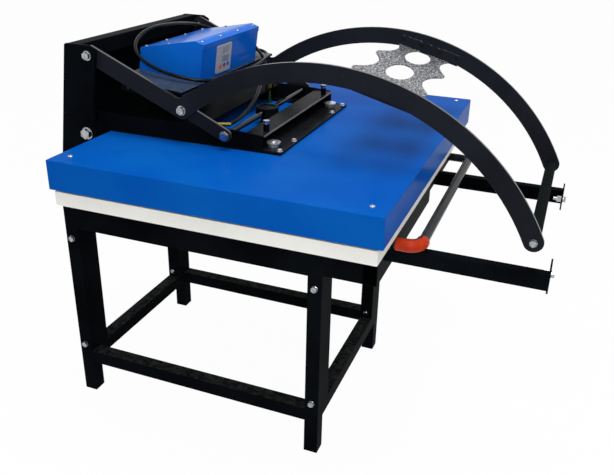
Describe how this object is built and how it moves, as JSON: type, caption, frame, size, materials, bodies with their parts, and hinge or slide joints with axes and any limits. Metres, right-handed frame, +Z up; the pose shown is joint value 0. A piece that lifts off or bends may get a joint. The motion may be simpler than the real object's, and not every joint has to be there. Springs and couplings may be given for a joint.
{
  "type": "large format heat press",
  "caption": "Floor-standing flat heat press: tube stand, slide-out padded bed, heated platen lifted by two bowed arms, links and a front bar, with control box.",
  "frame": {"origin": "floor, under the middle of the machine's outer box", "axes": "+X to the operator's right, +Y to the rear, +Z up"},
  "size_m": [1.036, 1.3342, 1.1117],
  "materials": {
    "black_paint": "satin black powder coat, slightly textured",
    "bright_steel": "bright plated steel",
    "yellow_zinc": "yellow passivated zinc",
    "black_screws": "black oxide",
    "hammertone": "speckled silver and grey hammer finish",
    "grip_foam": "matt black foam",
    "blue_paint": "blue powder coat, semi gloss",
    "bezel": "silver grey plastic",
    "display": "grey display window",
    "red_button": "orange red",
    "blue_button": "blue",
    "gland_plastic": "black nylon",
    "cable_rubber": "dull black sheath",
    "insulation": "mineral fibre board",
    "heater_metal": "machined aluminium",
    "handle_paint": "dark grey semi gloss",
    "orange_guard": "orange plastic",
    "white_board": "white painted board",
    "silicone": "beige silicone sponge",
    "roller_steel": "turned steel"
  },
  "bodies": {
    "stand": {"table_top_frame": "black_paint", "left_leg_frame": "black_paint", "right_leg_frame": "black_paint", "front_leg_brace": "black_paint", "rear_leg_brace": "black_paint", "frame_bolts": "bright_steel", "left_side_plate": "black_paint", "right_side_plate": "black_paint", "rear_top_beam": "black_paint", "rear_panel": "black_paint", "left_runner_rail": "black_paint", "right_runner_rail": "black_paint", "stop_bolts": "bright_steel", "arm_pivot_bolts": "bright_steel", "platen_pivot_bolts": "bright_steel"},
    "arms": {"left_arm": "black_paint", "right_arm": "black_paint", "handle_bar": "black_paint", "handle_grip": "grip_foam", "handle_end_bolts": "bright_steel", "scalloped_plate": "hammertone", "plate_screws": "black_screws", "control_shelf": "black_paint", "control_box_body": "blue_paint", "control_box_lid": "blue_paint", "box_screws": "bright_steel", "controller_panel": "bezel", "display_windows": "display", "cable_glands": "gland_plastic", "cable_loop": "cable_rubber", "cable_lead": "cable_rubber", "link_top_bolts": "bright_steel"},
    "links": {"left_link": "black_paint", "right_link": "black_paint", "link_foot_bolts": "bright_steel", "lead_sleeve": "yellow_zinc"},
    "platen": {"left_carrier_rail": "black_paint", "right_carrier_rail": "black_paint", "front_beam": "black_paint", "carrier_mid_plate": "black_paint", "mid_plate_studs": "yellow_zinc", "cross_rod": "bright_steel", "rod_hub": "black_paint", "platen_cover": "blue_paint", "insulation_board": "insulation", "heater_plate": "heater_metal", "platen_screws": "bright_steel"},
    "drawer": {"drawer_frame": "black_paint", "drawer_handle": "handle_paint", "guard_inner": "handle_paint", "guard_outer": "orange_guard", "bed_board": "white_board", "silicone_pad": "silicone"},
    "front_roller_set": {"front_rollers": "roller_steel"},
    "rear_roller_set": {"rear_rollers": "roller_steel"},
    "left_screw": {"left_pressure_screw": "bright_steel"},
    "right_screw": {"right_pressure_screw": "bright_steel"},
    "red_key": {"button_red": "red_button"},
    "up_key": {"button_up": "blue_button"},
    "down_key": {"button_down": "blue_button"}
  },
  "joints": [
    {"name": "arm_lift", "type": "hinge", "parent": "stand", "child": "arms", "pos_m": [0, 0.52812, 1.069], "axis": [-1, 0, 0], "range_deg": [0, 50]},
    {"name": "link_swing", "type": "hinge", "parent": "arms", "child": "links", "pos_m": [0, 0.26913, 0.954], "axis": [-1, 0, 0], "range_deg": [-89.15, 0]},
    {"name": "platen_tilt", "type": "hinge", "parent": "stand", "child": "platen", "pos_m": [0, 0.55212, 0.862], "axis": [-1, 0, 0], "range_deg": [0, 28.19]},
    {"name": "drawer_slide", "type": "slide", "parent": "stand", "child": "drawer", "axis": [0, -1, 0], "range_m": [0, 0.25]},
    {"name": "front_roller_turn", "type": "hinge", "parent": "drawer", "child": "front_roller_set", "pos_m": [0, -0.23888, 0.7003], "axis": [1, 0, 0], "continuous": true},
    {"name": "rear_roller_turn", "type": "hinge", "parent": "drawer", "child": "rear_roller_set", "pos_m": [0, 0.42113, 0.7003], "axis": [1, 0, 0], "continuous": true},
    {"name": "left_screw_turn", "type": "hinge", "parent": "platen", "child": "left_screw", "pos_m": [-0.21, 0.07112, 0.9], "axis": [0, 0, 1], "continuous": true},
    {"name": "right_screw_turn", "type": "hinge", "parent": "platen", "child": "right_screw", "pos_m": [0.21, 0.07112, 0.9], "axis": [0, 0, 1], "continuous": true},
    {"name": "red_press", "type": "slide", "parent": "arms", "child": "red_key", "axis": [0, 0.9732, 0.2301], "range_m": [0, 0.0012], "stiffness_N_per_m": 400, "springref_m": -0.001},
    {"name": "up_press", "type": "slide", "parent": "arms", "child": "up_key", "axis": [0, 0.9732, 0.2301], "range_m": [0, 0.0012], "stiffness_N_per_m": 400, "springref_m": -0.001},
    {"name": "down_press", "type": "slide", "parent": "arms", "child": "down_key", "axis": [0, 0.9732, 0.2301], "range_m": [0, 0.0012], "stiffness_N_per_m": 400, "springref_m": -0.001}
  ],
  "couplings": [
    {"joint": "link_swing", "follows": "arm_lift", "ratio": -1.773},
    {"joint": "platen_tilt", "follows": "arm_lift", "ratio": 0.55375},
    {"joint": "front_roller_turn", "follows": "drawer_slide", "rad_per_m": 76.923},
    {"joint": "rear_roller_turn", "follows": "drawer_slide", "rad_per_m": 76.923}
  ]
}
